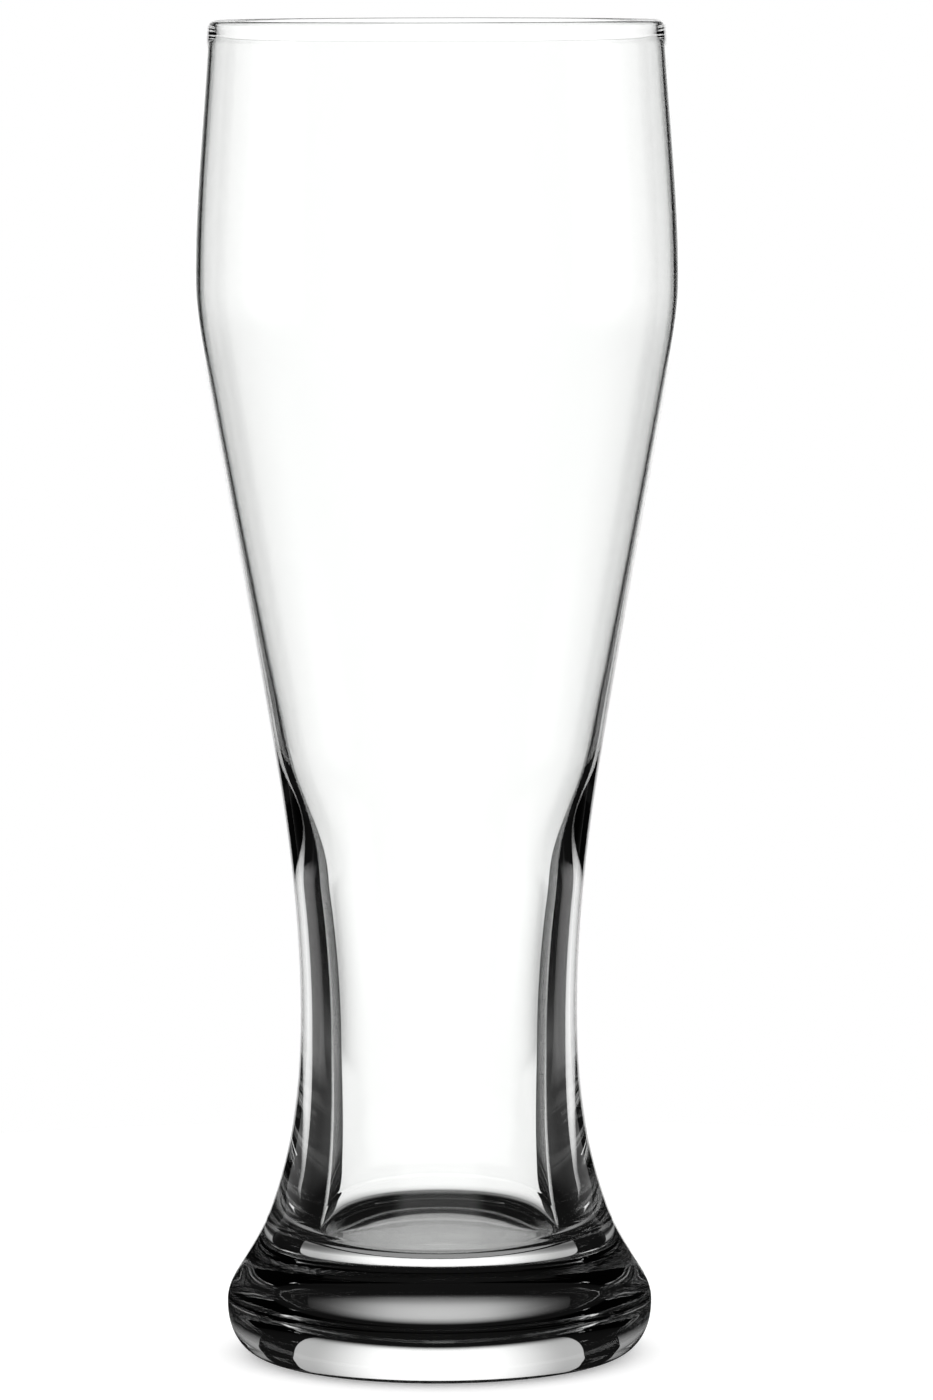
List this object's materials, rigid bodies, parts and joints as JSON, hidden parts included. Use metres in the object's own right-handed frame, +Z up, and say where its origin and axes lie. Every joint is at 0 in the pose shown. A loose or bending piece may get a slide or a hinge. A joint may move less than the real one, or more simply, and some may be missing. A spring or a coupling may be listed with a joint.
{
  "type": "weizen glass",
  "caption": "Tall clear beer glass with a bulged bowl, a thick narrow waist and a solid flared foot on a rounded base.",
  "frame": {"origin": "centre of the plane that the glass stands on", "axes": "+Z up along the glass's axis, from the foot to the lip; it is round, so X and Y are alike"},
  "size_m": [0.0848, 0.0846, 0.234],
  "materials": {
    "glass": "clear, colourless, fire-polished soda-lime glass"
  },
  "bodies": {
    "root": {"foot": "glass", "waist": "glass", "bowl": "glass", "rim": "glass"}
  },
  "joints": []
}
